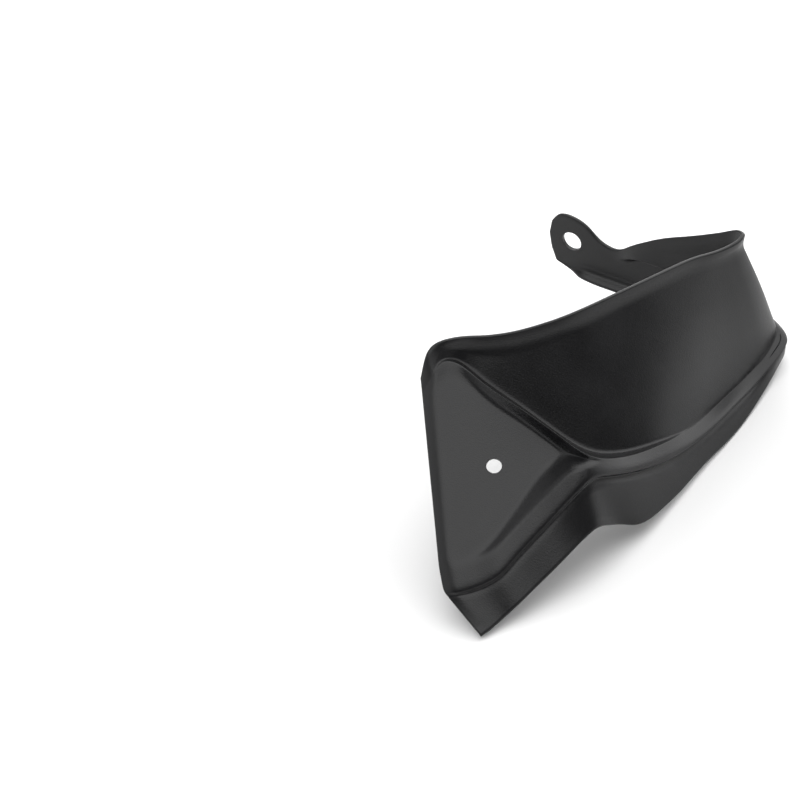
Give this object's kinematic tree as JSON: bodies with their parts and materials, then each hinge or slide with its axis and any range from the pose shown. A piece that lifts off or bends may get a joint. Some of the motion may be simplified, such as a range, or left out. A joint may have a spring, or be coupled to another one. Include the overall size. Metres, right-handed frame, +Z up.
{
  "type": "motorcycle hand guard",
  "caption": "Moulded plastic hand guard for a motorcycle handlebar: a curved wind shell with a recessed inner panel and an arm with a bar-end eye.",
  "frame": {"origin": "centre of the bar-end eye, on the inner face that meets the bar end", "axes": "+X forward, +Y outboard to the rider's left along the bar-end bolt, +Z up"},
  "size_m": [0.1444, 0.2743, 0.1031],
  "materials": {
    "shell_plastic": "satin black moulded plastic with a fine grain"
  },
  "bodies": {
    "root": {"guard_shell": "shell_plastic"}
  },
  "joints": []
}
